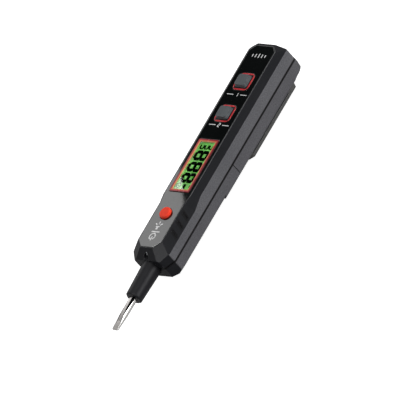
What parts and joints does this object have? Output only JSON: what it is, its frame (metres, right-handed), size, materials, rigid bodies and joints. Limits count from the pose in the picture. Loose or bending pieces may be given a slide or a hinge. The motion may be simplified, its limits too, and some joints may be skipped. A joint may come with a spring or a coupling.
{
  "type": "non-contact voltage tester",
  "caption": "Pen-shaped voltage tester with a screwdriver probe, display, push keys, torch and a sliding battery cover with a pocket clip.",
  "frame": {"origin": "middle of the overall length and width, on the plane that the pocket clip rests on", "axes": "+X toward the probe tip, +Y across, +Z out of the face"},
  "size_m": [0.162, 0.024, 0.0246],
  "materials": {
    "case_plastic": "fine matte texture, charcoal",
    "clip_plastic": "satin, dark grey",
    "panel_gloss": "high gloss black",
    "display_red": "smooth red",
    "ring_red": "smooth deep red",
    "window_clear": "clear",
    "display_glass": "green lit display",
    "backlight_white": "translucent white",
    "key_grey": "satin grey",
    "button_red": "satin bright red",
    "plunger_black": "smooth",
    "switch_metal": "pressed sheet",
    "board_green": "solder mask",
    "chip_black": "moulded resin",
    "ceramic_tan": "ceramic",
    "led_clear": "clear resin",
    "blade_steel": "bright plated steel",
    "sleeve_black": "smooth satin black",
    "spring_brass": "stamped strip",
    "cell_jacket": "plain metal jacket",
    "tray_black": "plain moulded",
    "contact_steel": "nickel plated"
  },
  "bodies": {
    "case": {"front_shell": "case_plastic", "rear_shell": "case_plastic", "face_panel": "panel_gloss", "display_frame": "display_red", "display_window": "window_clear", "lcd_glass": "display_glass", "backlight": "backlight_white", "key_frames": "ring_red", "tact_switches": "switch_metal", "circuit_board": "board_green", "controller_chip": "chip_black", "small_components": "ceramic_tan", "buzzer": "chip_black", "torch_led": "led_clear", "probe_blade": "blade_steel", "probe_sleeve": "sleeve_black", "probe_contact": "spring_brass", "sense_plate": "spring_brass", "cell_left": "cell_jacket", "cell_right": "cell_jacket", "battery_tray": "tray_black", "tail_contact": "contact_steel", "inner_contacts": "contact_steel", "battery_springs": "contact_steel", "case_screws": "contact_steel"},
    "cover": {"battery_cover": "case_plastic", "clip_base": "clip_plastic"},
    "clip": {"pocket_clip": "clip_plastic"},
    "upper_press": {"upper_key": "key_grey", "upper_key_plunger": "plunger_black"},
    "lower_press": {"lower_key": "key_grey", "lower_key_plunger": "plunger_black"},
    "torch_press": {"torch_button": "button_red", "torch_plunger": "plunger_black"}
  },
  "joints": [
    {"name": "cover_slide", "type": "slide", "parent": "case", "child": "cover", "axis": [-1, 0, 0], "range_m": [0, 0.066]},
    {"name": "clip_flex", "type": "hinge", "parent": "cover", "child": "clip", "pos_m": [-0.0685, 0, 0.00085], "axis": [0, 1, 0], "range_deg": [0, 5], "stiffness_Nm_per_rad": 0.6, "springref_deg": -1.15},
    {"name": "upper_key_press", "type": "slide", "parent": "case", "child": "upper_press", "axis": [0, 0, -1], "range_m": [0, 0.0005], "stiffness_N_per_m": 1500, "springref_m": -0.0003},
    {"name": "lower_key_press", "type": "slide", "parent": "case", "child": "lower_press", "axis": [0, 0, -1], "range_m": [0, 0.0005], "stiffness_N_per_m": 1500, "springref_m": -0.0003},
    {"name": "torch_button_press", "type": "slide", "parent": "case", "child": "torch_press", "axis": [0, 0, -1], "range_m": [0, 0.0005], "stiffness_N_per_m": 1500, "springref_m": -0.0003}
  ]
}
